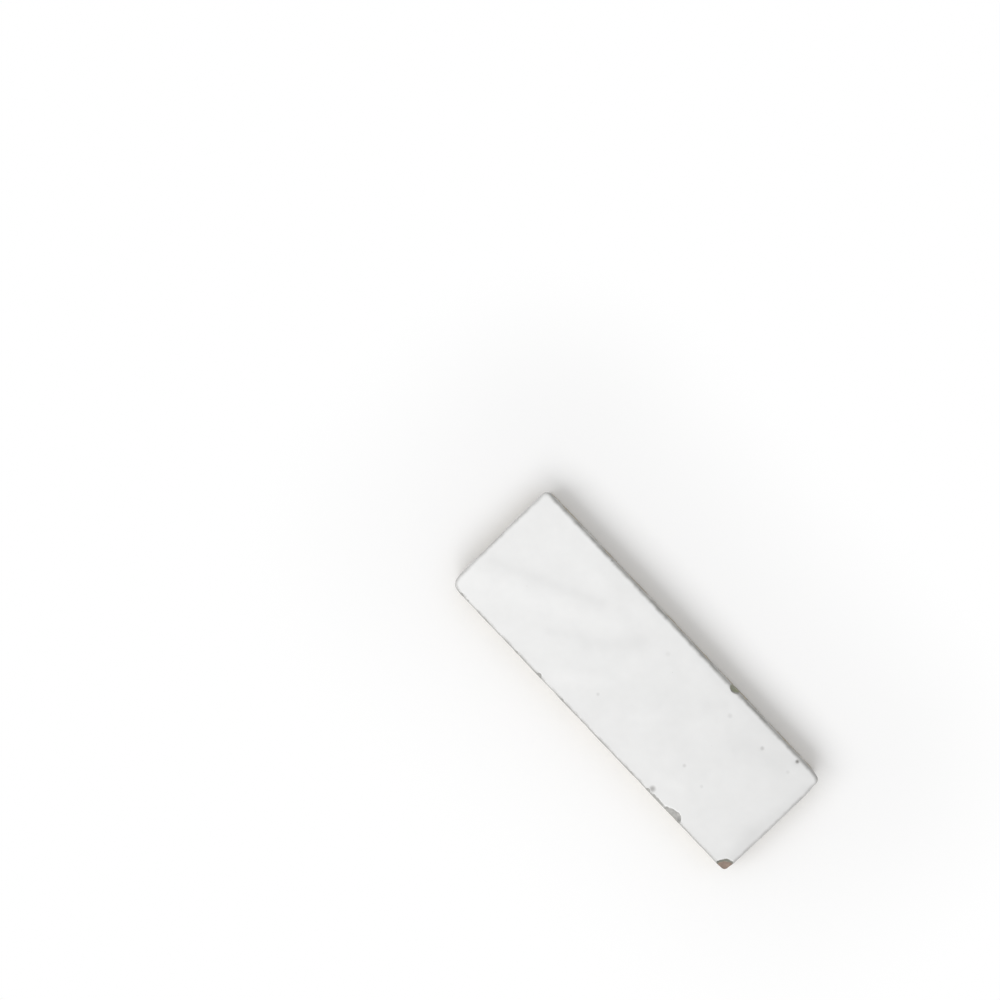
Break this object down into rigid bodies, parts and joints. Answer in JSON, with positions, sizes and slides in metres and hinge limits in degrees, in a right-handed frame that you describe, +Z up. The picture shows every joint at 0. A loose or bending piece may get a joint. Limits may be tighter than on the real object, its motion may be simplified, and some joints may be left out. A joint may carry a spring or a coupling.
{
  "type": "zellige tile",
  "caption": "Hand-cut rectangular clay tile with a wavy white glazed face, eased and chipped edges, rough clay walls and a flat bed face; clads walls and floors.",
  "frame": {"origin": "middle of the flat bed face, on the surface the tile lies on", "axes": "+X along the tile's length, +Y across it, +Z up out of the glazed face"},
  "size_m": [0.1518, 0.052, 0.0124],
  "materials": {
    "white_glazed_clay": "gloss"
  },
  "bodies": {
    "root": {"zellige_tile": "white_glazed_clay"}
  },
  "joints": []
}
